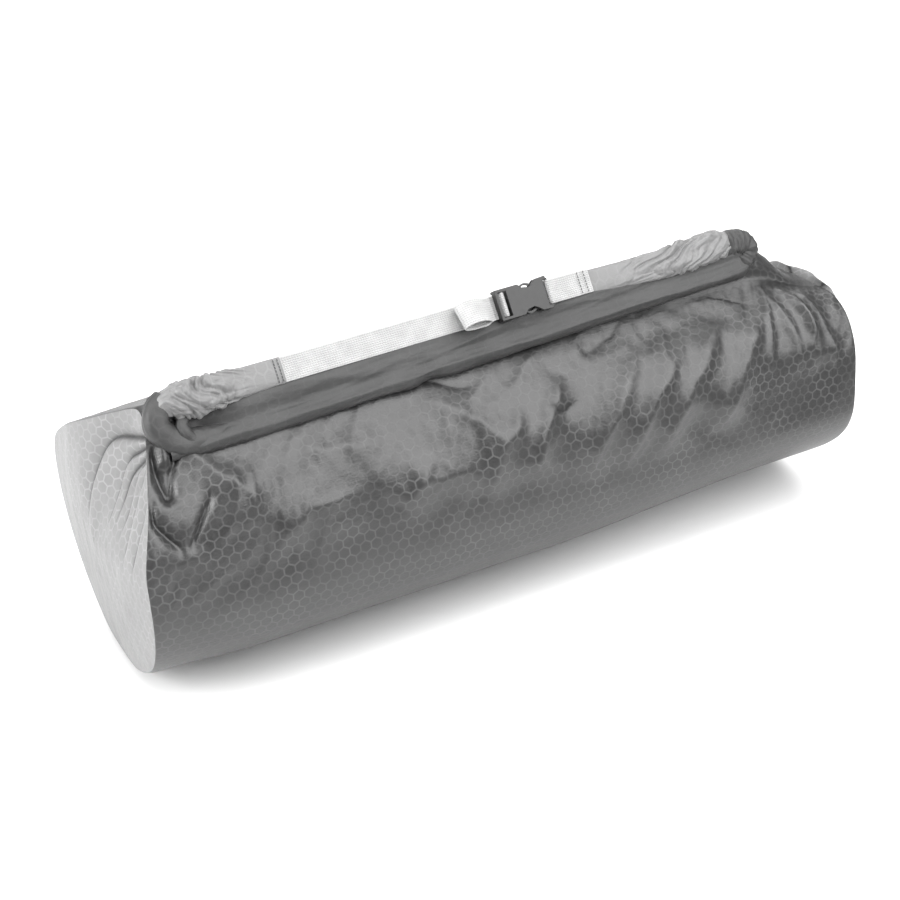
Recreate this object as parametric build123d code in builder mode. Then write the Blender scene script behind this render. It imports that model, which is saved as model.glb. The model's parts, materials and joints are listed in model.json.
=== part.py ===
from build123d import *

import os
from math import cos, radians, sin

os.makedirs("parts", exist_ok=True)

# A stuffed roll-top sack that lies on its side. +X is along its length, +Y is to the back and
# +Z is up. The origin is under the middle of the sack, on the surface that it lies on.

# The filled sack
sack_length = 670.0
body_radius = 123.0
axis_height = 120.0  # a little under the radius, so that the underside is flat
fabric = 1.2
seam_width = 9.0
seam_thickness = 0.8
seam_gap = 0.2
load_gap = 1.4  # from the fabric's inner face to the packed load
section_rounding = 12.0

# The closure lies on a slope, high on the front. Along the slope is called up the slope,
# and square to it is called out.
slope = 54.2  # degrees from level
strap_lean = 1.4  # degrees by which the closure climbs the slope towards +X
strap_up_slope = 84.8  # the strap's middle, from the sack's axis
roll_face_out = 110.0  # the rolled mouth's outer face, from the sack's axis
# the sack is round inside this outline, given up the slope and out from its axis
slope_outline = [(-200, 152), (0, 112), (28, 100), (36, 88), (88, 82), (96, -200), (-200, -200)]

# The ends lean in above these heights, towards the ends of the rolled mouth
lean_start_left = 185.0
lean_start_right = 195.0
lean_height = 60.0
lean_in_left = 38.0
lean_in_right = 46.0

# The rolled mouth
roll_thickness = 19.5
roll_corner = 9.7  # a little under half its thickness
roll_left = -278.0
roll_right = 240.0
roll_width_left = 58.0
roll_width_right = 45.0
roll_upper_edge = 11.0  # up the slope from the strap's middle
stiffener_width = 20.0
stiffener_thickness = 1.5
stiffener_up_slope = -14.0
stiffener_clearance = 0.2
stiffener_end = 10.0  # from each end of the roll
stiffener_pocket_end = 8.0

# The webbing
webbing_width = 20.0
webbing = 1.4
strap_start = -208.0
strap_height = 1.5  # above the rolled mouth's face
tail_height = 3.3
leg_top = 4.4
leg_foot = 0.2
leg_width = 22.0
leg_left_end = -190.0
leg_right_start = 76.0
leg_right_top = 2.2
hem_slot_above = 0.1  # the long strap's slot in the left leg's hem, beyond the webbing
hem_slot_beside = 0.2
short_strap_height = 2.4
short_strap_top = 5.2
short_strap_flat_from = 62.0
short_strap_end = 90.0
fold_radius = 2.4
loop_left_end = -37.0
loop_right_end = -5.0
loop_flat_from = -11.0
loop_middle = -21.0
loop_rise = 1.7
loop_top = 9.0
stitch_length = 2.0
stitch_width = 0.6
stitch_height = 0.3
stitches_in_row = 7
stitch_pitch = 2.7
# each row's distance from the end of what it holds down
hem_rows = (2.5, 6.0)
short_strap_rows = (3.5, 9.5)
tail_rows = (2.0,)

# The side-release buckle
buckle_middle = 7.0  # height of its middle plane above the rolled mouth's face
socket_thickness = 7.6
socket_left = -1.0
socket_mouth = 45.0
socket_half_width = 13.0
cavity_height = 2.8
insert_thickness = 2.2
frame_opening_left = 1.6
frame_opening_right = 9.6
frame_half_opening = 10.6
ladder_bar_at = 5.2
ladder_bar_radius = 1.6
ladder_bar_sunk = 0.5  # how far its ends run into the frame
wrap_inner_radius = 1.9
notch_left = 21.0
# half the socket's outline, as places along the strap and out from its middle
socket_outline = [
    (socket_left, 0),
    (socket_left, socket_half_width),
    (notch_left, socket_half_width),
    (24.5, 9.6),
    (30.5, 8.4),
    (33.5, 9.8),
    (38, 13.4),
    (48, 14),
    (48, 10.8),
    (socket_mouth, 10.4),
    (socket_mouth, 0),
]
socket_corner = 1.0
socket_edge = 0.6
frame_underside = 5.1  # above the rolled mouth's face
cavity_half_width = 10.4
cavity_left = 10.8
side_opening_left = 20.5
tongue_left = 17.0
tongue_width = 3.0
base_left = 35.0
base_right = 44.6
base_width = 9.6
base_step = 43.6
insert_half_width = 11.9
lug_width = 1.5
prong_pivot = (41.5, 7.8)
pivot_radius = 1.5
prong_clearance = 0.3
# each prong's edges, from its root to its tip, as places along the strap and out from its middle
prong_outer_edge = [(41.5, 9.2), (36, 9.6), (31.5, 11.9), (27, 12.6), (22, 10.4), (17, 9.7), (13.5, 8.9)]
prong_inner_edge = [(41.5, 6.6), (36, 7.4), (31.5, 10.0), (27, 10.9), (22, 8.7), (17, 7.8), (13.5, 7.2)]
insert_bar_at = 49.3
insert_bar_width = 2.2
insert_bar_clearance = 0.1

# Worked out from the above
loop_end_top = tail_height + 2 * webbing
wrap_left = ladder_bar_at - wrap_inner_radius - webbing
wrap_right = ladder_bar_at + wrap_inner_radius + webbing

out_dir = Vector(0, -sin(radians(slope)), cos(radians(slope)))
up_slope_dir = Vector(0, cos(radians(slope)), sin(radians(slope)))
closure_origin = Vector(0, 0, axis_height) + up_slope_dir * strap_up_slope + out_dir * roll_face_out
# On the closure plane, x runs along the strap, y up the slope and z out from the rolled mouth.
strap_dir = Vector(1, 0, 0) * cos(radians(strap_lean)) + up_slope_dir * sin(radians(strap_lean))
closure = Plane(origin=closure_origin, x_dir=strap_dir, z_dir=out_dir)

closure_out = Axis(closure.origin, closure.z_dir)


def across(along, up=0.0, out=0.0):
    """A plane square to the strap: its x runs up the slope and its y runs inwards."""
    origin = closure.from_local_coords((along, up, out))
    return Plane(origin=origin, x_dir=closure.y_dir, z_dir=closure.x_dir)


def edgewise(up):
    """A plane along the strap and square to the roll's face: its x runs along, its y outwards."""
    origin = closure.from_local_coords((0, up, 0))
    return Plane(origin=origin, x_dir=closure.x_dir, z_dir=-closure.y_dir)


def sack_section(inset):
    """The filled sack's cross-section: round, flat below, and flattened behind the closure."""
    with BuildSketch(Plane.YZ) as section:
        with Locations((0, axis_height)):
            Circle(body_radius)
            Polygon(*slope_outline, rotation=slope, align=None, mode=Mode.INTERSECT)
        above_floor = (Align.CENTER, Align.MIN)
        Rectangle(4 * body_radius, 4 * body_radius, align=above_floor, mode=Mode.INTERSECT)
        fillet(section.vertices(), section_rounding)
        if inset:
            offset(amount=-inset, mode=Mode.REPLACE)
    return section.sketch


def sack_side(inset):
    """The filled sack seen from the front, where its ends lean in towards the rolled mouth."""
    half = sack_length / 2
    with BuildSketch(Plane.XZ) as side:
        with BuildLine():
            Polyline(
                (-half, -body_radius),
                (half, -body_radius),
                (half, lean_start_right),
                (half - lean_in_right, lean_start_right + lean_height),
                (half - lean_in_right, 3 * body_radius),
                (-half + lean_in_left, 3 * body_radius),
                (-half + lean_in_left, lean_start_left + lean_height),
                (-half, lean_start_left),
                close=True,
            )
        make_face()
        if inset:
            offset(amount=-inset, kind=Kind.INTERSECTION, mode=Mode.REPLACE)
    return side.sketch


# The dark panel that wraps the front, the underside and the back
with BuildPart() as body_wrap:
    extrude(sack_section(0), amount=sack_length, both=True)
    extrude(sack_side(0), amount=2 * body_radius, both=True, mode=Mode.INTERSECT)
    extrude(sack_section(fabric), amount=sack_length, both=True, mode=Mode.SUBTRACT)
body_wrap.part.label = "body_wrap"
export_step(body_wrap.part, "parts/body_wrap.step")

# What the sack holds: bedding that is packed tight and gives the sack its shape
with BuildPart() as packed_load:
    extrude(sack_section(fabric + load_gap), amount=sack_length, both=True)
    extrude(sack_side(fabric + load_gap), amount=2 * body_radius, both=True, mode=Mode.INTERSECT)
packed_load.part.label = "packed_load"
export_step(packed_load.part, "parts/packed_load.step")

# The pale end panels, and the bound seam allowance inside each
for name, direction in (("left", -1), ("right", 1)):
    with BuildPart() as end_panel:
        extrude(sack_section(fabric), amount=direction * sack_length)
        extrude(sack_side(0), amount=2 * body_radius, both=True, mode=Mode.INTERSECT)
        extrude(sack_side(fabric), amount=2 * body_radius, both=True, mode=Mode.SUBTRACT)
    end_panel.part.label = f"end_panel_{name}"
    export_step(end_panel.part, f"parts/end_panel_{name}.step")

    with BuildPart() as end_seam:
        extrude(sack_section(fabric + seam_gap), amount=direction * sack_length)
        extrude(sack_side(fabric + seam_gap), amount=2 * body_radius, both=True, mode=Mode.INTERSECT)
        extrude(sack_side(fabric + seam_width), amount=2 * body_radius, both=True, mode=Mode.SUBTRACT)
        inner = sack_section(fabric + seam_gap + seam_thickness)
        extrude(inner, amount=direction * sack_length, mode=Mode.SUBTRACT)
    end_seam.part.label = f"end_seam_{name}"
    export_step(end_seam.part, f"parts/end_seam_{name}.step")

# The rolled mouth, around its stiffener
roll_middle_left = roll_upper_edge - roll_width_left / 2
roll_middle_right = roll_upper_edge - roll_width_right / 2

with BuildPart() as mouth_roll:
    with BuildSketch(across(roll_left, roll_middle_left, -roll_thickness / 2)):
        RectangleRounded(roll_width_left, roll_thickness, roll_corner)
    with BuildSketch(across(roll_right, roll_middle_right, -roll_thickness / 2)):
        RectangleRounded(roll_width_right, roll_thickness, roll_corner)
    loft()
    with BuildSketch(across(roll_left + stiffener_pocket_end, stiffener_up_slope, -roll_thickness / 2)):
        Rectangle(
            stiffener_width + 2 * stiffener_clearance,
            stiffener_thickness + 2 * stiffener_clearance,
        )
    extrude(amount=roll_right - roll_left - 2 * stiffener_pocket_end, mode=Mode.SUBTRACT)
mouth_roll.part.label = "mouth_roll"
export_step(mouth_roll.part, "parts/mouth_roll.step")

with BuildPart() as mouth_stiffener:
    with BuildSketch(across(roll_left + stiffener_end, stiffener_up_slope, -roll_thickness / 2)):
        Rectangle(stiffener_width, stiffener_thickness)
    extrude(amount=roll_right - roll_left - 2 * stiffener_end)
mouth_stiffener.part.label = "mouth_stiffener"
export_step(mouth_stiffener.part, "parts/mouth_stiffener.step")

# The roll's ends, which turn back on themselves to meet the straps
roll_ends = (
    ("left", roll_left, roll_middle_left, roll_width_left, 180),
    ("right", roll_right, roll_middle_right, roll_width_right, -180),
)
for name, along, middle, width, turn in roll_ends:
    with BuildPart() as roll_end:
        with BuildSketch(across(along, middle, -roll_thickness / 2)) as profile:
            RectangleRounded(width, roll_thickness, roll_corner)
            Rectangle(width, roll_thickness, align=(Align.MIN, Align.CENTER), mode=Mode.INTERSECT)
        turning_axis = Axis(closure.from_local_coords((along, middle, 0)), closure.z_dir)
        revolve(axis=turning_axis, revolution_arc=turn)
    roll_end.part.label = f"roll_end_{name}"
    export_step(roll_end.part, f"parts/roll_end_{name}.step")

# The pale legs, which are the roll's turned-back ends, lie on the roll's face
with BuildPart() as gusset_leg_left:
    with BuildSketch(closure.offset(leg_foot)):
        with Locations((roll_left, 0)):
            Rectangle(leg_left_end - roll_left, leg_width, align=(Align.MIN, Align.CENTER))
    extrude(amount=leg_top - leg_foot)
    with BuildSketch(closure.offset(strap_height - hem_slot_above)):
        with Locations((strap_start - hem_slot_beside, 0)):
            Rectangle(
                leg_left_end - strap_start + 2 * hem_slot_beside,
                webbing_width + 2 * hem_slot_beside,
                align=(Align.MIN, Align.CENTER),
            )
    extrude(amount=webbing + 2 * hem_slot_above, mode=Mode.SUBTRACT)
gusset_leg_left.part.label = "gusset_leg_left"
export_step(gusset_leg_left.part, "parts/gusset_leg_left.step")

with BuildPart() as gusset_leg_right:
    with BuildSketch(closure.offset(leg_foot)):
        with Locations((leg_right_start, 0)):
            Rectangle(roll_right - leg_right_start, leg_width, align=(Align.MIN, Align.CENTER))
    extrude(amount=leg_right_top - leg_foot)
gusset_leg_right.part.label = "gusset_leg_right"
export_step(gusset_leg_right.part, "parts/gusset_leg_right.step")

# The long strap, from the left leg's hem to under the buckle
with BuildPart() as strap_long:
    with BuildSketch(closure.offset(strap_height)):
        with Locations((strap_start, 0)):
            Rectangle(wrap_right - strap_start, webbing_width, align=(Align.MIN, Align.CENTER))
    extrude(amount=webbing)
strap_long.part.label = "strap_long"
export_step(strap_long.part, "parts/strap_long.step")

# The strap's tail: it comes down around the ladder bar, runs back under the frame, and its end
# is folded over into a flat loop
with BuildPart() as strap_tail:
    with BuildSketch(edgewise(webbing_width / 2)):
        with Locations((ladder_bar_at, buckle_middle)):
            Circle(wrap_inner_radius + webbing)
            Circle(wrap_inner_radius, mode=Mode.SUBTRACT)
        with Locations((ladder_bar_at, 0)):
            Rectangle(
                4 * wrap_inner_radius,
                buckle_middle,
                align=(Align.CENTER, Align.MIN),
                mode=Mode.SUBTRACT,
            )
        for leg_at in (wrap_left, wrap_right - webbing):
            with Locations((leg_at, tail_height)):
                Rectangle(webbing, buckle_middle - tail_height, align=Align.MIN)
        with Locations((wrap_left, tail_height)):
            Rectangle(wrap_left - loop_left_end - loop_rise, webbing, align=(Align.MAX, Align.MIN))
        with BuildLine():
            Polyline((loop_right_end, tail_height), (loop_left_end + loop_rise, tail_height))
            ThreePointArc(
                (loop_left_end + loop_rise, tail_height),
                (loop_left_end, tail_height + loop_rise),
                (loop_left_end + loop_rise, tail_height + 2 * loop_rise),
            )
            ThreePointArc(
                (loop_left_end + loop_rise, tail_height + 2 * loop_rise),
                (loop_middle, loop_top),
                (loop_flat_from, loop_end_top),
            )
            Polyline(
                (loop_flat_from, loop_end_top),
                (loop_right_end, loop_end_top),
                (loop_right_end, tail_height),
            )
        make_face()
        with BuildLine():
            Polyline(
                (loop_flat_from, tail_height + webbing),
                (loop_left_end + loop_rise, tail_height + webbing),
            )
            ThreePointArc(
                (loop_left_end + loop_rise, tail_height + webbing),
                (loop_left_end + webbing, tail_height + loop_rise),
                (loop_left_end + loop_rise, tail_height + 2 * loop_rise - webbing),
            )
            ThreePointArc(
                (loop_left_end + loop_rise, tail_height + 2 * loop_rise - webbing),
                (loop_middle, loop_top - webbing),
                (loop_flat_from, tail_height + webbing),
            )
        make_face(mode=Mode.SUBTRACT)
    extrude(amount=webbing_width)
strap_tail.part.label = "strap_tail"
export_step(strap_tail.part, "parts/strap_tail.step")

# The short strap: a doubled length of webbing, folded around the insert's bar
with BuildPart() as strap_short:
    with BuildSketch(edgewise(webbing_width / 2)):
        with Locations((insert_bar_at, buckle_middle)):
            Circle(fold_radius)
        with BuildLine():
            Polyline(
                (insert_bar_at, buckle_middle - fold_radius),
                (short_strap_flat_from, short_strap_height),
                (short_strap_end, short_strap_height),
                (short_strap_end, short_strap_top),
                (short_strap_flat_from, short_strap_top),
                (insert_bar_at, buckle_middle + fold_radius),
                close=True,
            )
        make_face()
        with Locations((insert_bar_at, buckle_middle)):
            Rectangle(
                insert_bar_width + 2 * insert_bar_clearance,
                insert_thickness + 2 * insert_bar_clearance,
                mode=Mode.SUBTRACT,
            )
    extrude(amount=webbing_width)
strap_short.part.label = "strap_short"
export_step(strap_short.part, "parts/strap_short.step")

# Rows of stitches
stitch_rows = (
    ("hem_stitches_left", leg_left_end, hem_rows, leg_top),
    ("strap_stitches_right", short_strap_end, short_strap_rows, short_strap_top),
    ("tail_stitches", loop_right_end, tail_rows, loop_end_top),
)
for name, end, rows, height in stitch_rows:
    with BuildPart() as stitches:
        with BuildSketch(closure.offset(height)):
            for from_end in rows:
                with Locations((end - from_end, 0)):
                    with GridLocations(0, stitch_pitch, 1, stitches_in_row):
                        SlotOverall(stitch_length, stitch_width, rotation=90)
        extrude(amount=stitch_height)
    stitches.part.label = name
    export_step(stitches.part, f"parts/{name}.step")

# The buckle's socket: a frame with a ladder bar on the left, and two plates that hold the insert
with BuildPart() as buckle_socket:
    with BuildSketch(closure.offset(buckle_middle - socket_thickness / 2)):
        with BuildLine():
            Polyline(*socket_outline, close=True)
        make_face()
        mirror(about=Plane.XZ)
    extrude(amount=socket_thickness)
    fillet(buckle_socket.edges().filter_by(closure_out), socket_corner)
    fillet(buckle_socket.faces().sort_by(closure_out)[-1].edges(), socket_edge)
    # the opening in the frame, with the ladder bar across it
    with BuildSketch(closure):
        with Locations((frame_opening_left, 0)):
            Rectangle(
                frame_opening_right - frame_opening_left,
                2 * frame_half_opening,
                align=(Align.MIN, Align.CENTER),
            )
    extrude(amount=2 * socket_thickness, mode=Mode.SUBTRACT)
    with BuildSketch(edgewise(frame_half_opening + ladder_bar_sunk)):
        with Locations((ladder_bar_at, buckle_middle)):
            Circle(ladder_bar_radius)
    extrude(amount=2 * (frame_half_opening + ladder_bar_sunk))
    # the frame's left bar stands clear of the two layers of webbing under it
    with BuildSketch(closure):
        with Locations((frame_opening_left, 0)):
            Rectangle(
                2 * (frame_opening_left - socket_left),
                2 * frame_half_opening,
                align=(Align.MAX, Align.CENTER),
            )
    extrude(amount=frame_underside, mode=Mode.SUBTRACT)
    # the space between the plates, open at the mouth and at both sides from the notches on
    with BuildSketch(closure.offset(buckle_middle - cavity_height / 2)):
        with Locations((cavity_left, 0)):
            Rectangle(2 * socket_mouth, 2 * cavity_half_width, align=(Align.MIN, Align.CENTER))
        with Locations((side_opening_left, 0)):
            Rectangle(2 * socket_mouth, 4 * socket_half_width, align=(Align.MIN, Align.CENTER))
    extrude(amount=cavity_height, mode=Mode.SUBTRACT)
buckle_socket.part.label = "buckle_socket"
export_step(buckle_socket.part, "parts/buckle_socket.step")

# The buckle's insert: a base with a tongue, and the bar that the short strap is folded around
insert_level = closure.offset(buckle_middle - insert_thickness / 2)
with BuildPart() as buckle_insert:
    with BuildSketch(insert_level):
        with Locations((tongue_left, 0)):
            SlotOverall(base_right - tongue_left, tongue_width, align=(Align.MIN, Align.CENTER))
        with Locations((base_left, 0)):
            Rectangle(base_right - base_left, base_width, align=(Align.MIN, Align.CENTER))
        with Locations((base_step, 0)):
            Rectangle(base_right - base_step, 2 * insert_half_width, align=(Align.MIN, Align.CENTER))
        for side in (-1, 1):
            with Locations((base_step, side * (insert_half_width - lug_width / 2))):
                Rectangle(
                    insert_bar_at + insert_bar_width / 2 - base_step,
                    lug_width,
                    align=(Align.MIN, Align.CENTER),
                )
            with Locations((prong_pivot[0], side * prong_pivot[1])):
                Circle(pivot_radius + prong_clearance, mode=Mode.SUBTRACT)
        with Locations((insert_bar_at, 0)):
            Rectangle(insert_bar_width, 2 * insert_half_width)
    extrude(amount=insert_thickness)
buckle_insert.part.label = "buckle_insert"
export_step(buckle_insert.part, "parts/buckle_insert.step")

# The two prongs that latch in the socket and are squeezed to let it go
for name, side in (("front", -1), ("rear", 1)):
    with BuildPart() as prong:
        with BuildSketch(insert_level):
            with BuildLine():
                Spline(*[(along, side * up) for along, up in prong_outer_edge])
                Spline(*[(along, side * up) for along, up in prong_inner_edge])
                Line(*[(edge[0][0], side * edge[0][1]) for edge in (prong_outer_edge, prong_inner_edge)])
                Line(*[(edge[-1][0], side * edge[-1][1]) for edge in (prong_outer_edge, prong_inner_edge)])
            make_face()
            with Locations((prong_pivot[0], side * prong_pivot[1])):
                Circle(pivot_radius)
        extrude(amount=insert_thickness)
    prong.part.label = f"prong_{name}"
    export_step(prong.part, f"parts/prong_{name}.step")

# Where the moving parts turn and slide
for side in (-1, 1):
    print("prong pivot", closure.from_local_coords((prong_pivot[0], side * prong_pivot[1], buckle_middle)))
print("pivot axis", closure.z_dir)
print("strap axis", closure.x_dir)
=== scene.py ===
"""A stuffed roll-top sack: its looks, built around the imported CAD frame."""

import json
import math

import bpy
import numpy as np
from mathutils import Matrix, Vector


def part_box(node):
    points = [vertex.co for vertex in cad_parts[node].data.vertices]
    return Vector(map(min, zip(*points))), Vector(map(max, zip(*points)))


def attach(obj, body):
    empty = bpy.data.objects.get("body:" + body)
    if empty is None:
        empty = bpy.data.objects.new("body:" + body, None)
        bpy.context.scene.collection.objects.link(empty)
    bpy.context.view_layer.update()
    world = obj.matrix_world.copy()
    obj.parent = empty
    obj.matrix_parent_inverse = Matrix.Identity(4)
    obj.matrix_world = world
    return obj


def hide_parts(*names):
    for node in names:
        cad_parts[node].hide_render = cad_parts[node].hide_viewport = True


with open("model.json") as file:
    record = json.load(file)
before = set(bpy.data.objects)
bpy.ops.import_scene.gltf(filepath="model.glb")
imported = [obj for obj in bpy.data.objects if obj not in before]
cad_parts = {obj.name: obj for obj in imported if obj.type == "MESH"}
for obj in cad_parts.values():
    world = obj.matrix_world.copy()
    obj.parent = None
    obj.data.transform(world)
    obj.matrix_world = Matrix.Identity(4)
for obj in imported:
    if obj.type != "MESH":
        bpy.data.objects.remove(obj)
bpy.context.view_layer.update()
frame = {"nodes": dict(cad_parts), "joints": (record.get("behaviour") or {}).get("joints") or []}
nodes = frame["nodes"]

MM = 0.001

# ---------------------------------------------------------------- places taken from the frame

joints = {joint["name"]: joint for joint in frame["joints"]}
along = -np.array(joints["buckle_release"]["axis"])  # along the strap, to the right
outwards = np.array(joints["rear_prong_squeeze"]["axis"])  # out from the rolled mouth
upwards = np.cross(outwards, along)  # up the slope that the rolled mouth lies on
pivots = [np.array(joints[name]["pos_m"]) for name in ("front_prong_squeeze", "rear_prong_squeeze")]
PIVOT_ALONG, BUCKLE_MIDDLE = 41.5, 7.0  # where the pivots are from the closure's origin, along and out
closure_origin = sum(pivots) / 2 - (PIVOT_ALONG * along + BUCKLE_MIDDLE * outwards) * MM


def closure(points):
    """Points given in millimetres along the strap, up the slope and out, as places in the row frame."""
    points = np.asarray(points, float) * MM
    return closure_origin + points @ np.array([along, upwards, outwards])


body_low, body_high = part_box("body_wrap")
half_length = (body_high.x - body_low.x) / 2 / MM

# ---------------------------------------------------------------- numbers and curves


def smooth(value, low, high):
    """0 below low, 1 above high, and smooth between them."""
    t = np.clip((np.asarray(value, float) - low) / (high - low), 0, 1)
    return t * t * (3 - 2 * t)


def bump(value, middle, width):
    """1 at the middle, falling off on both sides."""
    return np.exp(-(((np.asarray(value, float) - middle) / width) ** 2))


def noise(x, y, seed):
    """Smooth gradient noise, about -1 to 1, with cells of one unit."""
    x, y = np.broadcast_arrays(np.asarray(x, float), np.asarray(y, float))
    table = np.random.default_rng(seed).uniform(0, 2 * math.pi, (256, 256))
    x0, y0 = np.floor(x).astype(int), np.floor(y).astype(int)
    fx, fy = x - x0, y - y0
    ux, uy = fx**3 * (fx * (fx * 6 - 15) + 10), fy**3 * (fy * (fy * 6 - 15) + 10)

    def corner(i, j):
        angle = table[(x0 + i) % 256, (y0 + j) % 256]
        return np.cos(angle) * (fx - i) + np.sin(angle) * (fy - j)

    low = corner(0, 0) * (1 - ux) + corner(1, 0) * ux
    high = corner(0, 1) * (1 - ux) + corner(1, 1) * ux
    return 1.6 * (low * (1 - uy) + high * uy)


def crumple(x, y, seed, octaves=3):
    """Sharp-ridged noise, like creased thin fabric, about 0 to 1."""
    total, size = 0, 1.0
    for octave in range(octaves):
        total = total + size * (1 - np.abs(noise(x * 2**octave, y * 2**octave, seed + octave))) ** 2
        size /= 2.2
    return total / 1.7


def creased(x, y, seed):
    """Cells that meet in sharp ridges, 0 in their middles and about 1 on the ridges."""
    table = np.random.default_rng(seed).uniform(0.1, 0.9, (64, 64, 2))
    x0, y0 = np.floor(x).astype(int), np.floor(y).astype(int)
    nearest = np.full(np.shape(x), 9.0)
    for i in (-1, 0, 1):
        for j in (-1, 0, 1):
            spot = table[(x0 + i) % 64, (y0 + j) % 64]
            gap = np.hypot(x0 + i + spot[..., 0] - x, y0 + j + spot[..., 1] - y)
            nearest = np.minimum(nearest, gap)
    return nearest


def spline(points, count, closed=False):
    """A smooth curve through the points, as count places."""
    points = np.asarray(points, float)
    n = len(points)
    if closed:
        t = np.arange(count) * n / count
    else:
        points = np.vstack([2 * points[0] - points[1], points, 2 * points[-1] - points[-2]])
        t = np.linspace(1, n - 1e-9, count)
    i = np.floor(t).astype(int)
    f = (t - i)[:, None]
    a, b, c, d = (points[(i + k) % len(points)] for k in (-1, 0, 1, 2))
    return 0.5 * (2 * b + (c - a) * f + (2 * a - 5 * b + 4 * c - d) * f**2 + (3 * b - a - 3 * c + d) * f**3)


def lengths_along(points):
    """How far along an open line each of its points is."""
    return np.r_[0, np.cumsum(np.linalg.norm(np.diff(points, axis=0), axis=1))]


def evenly(points, count):
    """The same open line, with its places evenly spaced."""
    steps = lengths_along(points)
    wanted = np.linspace(0, steps[-1], count)
    return np.column_stack([np.interp(wanted, steps, points[:, k]) for k in range(points.shape[1])])


# ---------------------------------------------------------------- meshes


def grid_mesh(name, points, uv, material, flip=False, shade=None):
    """A smooth-shaded mesh over a grid of points (rows, columns, 3) in metres, whose last column joins
    its first. uv gives each point its place on the flat cloth, in metres, flip turns the faces over, and
    shade is painted shade: 1, or less in the cloth's creases."""
    rows, columns = points.shape[:2]
    index = np.arange(rows * columns).reshape(rows, columns)
    index = np.column_stack([index, index[:, :1]])
    quads = np.stack([index[:-1, :-1], index[1:, :-1], index[1:, 1:], index[:-1, 1:]], -1).reshape(-1, 4)
    if flip:
        quads = quads[:, ::-1]
    mesh = bpy.data.meshes.new(name)
    mesh.from_pydata(points.reshape(-1, 3).tolist(), [], quads.tolist())
    u, v = uv[..., 0], uv[..., 1]
    last_step = v[:, -1:] - v[:, -2:-1]
    u, v = np.column_stack([u, u[:, -1:]]), np.column_stack([v, v[:, -1:] + last_step])
    corners = []
    for dr, dc in ((0, 0), (1, 0), (1, 1), (0, 1)):
        rows_part = slice(dr, u.shape[0] - 1 + dr)
        columns_part = slice(dc, u.shape[1] - 1 + dc)
        corners.append(np.stack([u[rows_part, columns_part], v[rows_part, columns_part]], -1))
    flat = np.stack(corners, 2).reshape(-1, 4, 2)
    if flip:
        flat = flat[:, ::-1]
    layer = mesh.uv_layers.new(name="flat")
    layer.data.foreach_set("uv", flat.reshape(-1).astype(np.float32))
    mesh.polygons.foreach_set("use_smooth", np.ones(len(mesh.polygons), bool))
    # painted shade: a darkening of the colour at each point, strongest in the cloth's creases
    creases = mesh.attributes.new("shade", "FLOAT", "POINT")
    shade = np.ones((rows, columns)) if shade is None else shade
    creases.data.foreach_set("value", shade.reshape(-1).astype(np.float32))
    mesh.materials.append(material)
    mesh.update()
    piece = bpy.data.objects.new(name, mesh)
    bpy.context.scene.collection.objects.link(piece)
    return piece


def normals_of(points):
    """The surface normal at each point of a grid whose last column joins its first."""
    wide = np.concatenate([points[:, -1:], points, points[:, :1]], axis=1)
    found = np.cross(np.gradient(points, axis=0), wide[:, 2:] - wide[:, :-2])
    return found / np.maximum(np.linalg.norm(found, axis=-1, keepdims=True), 1e-12)


SQUARENESS = 0.85  # of a tube's section: 1 is an ellipse, and less is squarer


def tube(name, path, sections, material, ripple, count=96, sides=72, uv_offset=0.0):
    """A tube along a path in closure coordinates. sections holds (half width, half thickness) at each
    path point. ripple(u, angle, length) gives how far the surface moves out, in millimetres, and its
    painted shade."""
    dense = spline(np.column_stack([path, sections]), count * 6)
    dense = evenly(dense, count)
    line, half = dense[:, :3], dense[:, 3:]
    tangent = np.gradient(line, axis=0)
    tangent /= np.linalg.norm(tangent, axis=1, keepdims=True)
    out = np.array([0, 0, 1.0]) - tangent[:, 2:] * tangent
    out /= np.linalg.norm(out, axis=1, keepdims=True)
    side = np.cross(out, tangent)
    angle = np.linspace(0, 2 * math.pi, sides, endpoint=False)
    length = lengths_along(line)
    u = length / length[-1]
    grid_u, grid_angle = np.meshgrid(u, angle, indexing="ij")
    wide = half[:, :1] * np.sign(np.cos(angle)) * np.abs(np.cos(angle)) ** SQUARENESS
    tall = half[:, 1:] * np.sign(np.sin(angle)) * np.abs(np.sin(angle)) ** SQUARENESS
    points = line[:, None] + side[:, None] * wide[..., None] + out[:, None] * tall[..., None]
    moved, shade = ripple(grid_u, grid_angle, length[-1])
    points = points - normals_of(points) * moved[..., None]
    around_length = angle * half.mean()
    uv = np.stack(np.broadcast_arrays(length[:, None] * MM + uv_offset, around_length[None] * MM), -1)
    return grid_mesh(name, closure(points), uv, material, shade=shade)


# ---------------------------------------------------------------- materials


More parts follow.
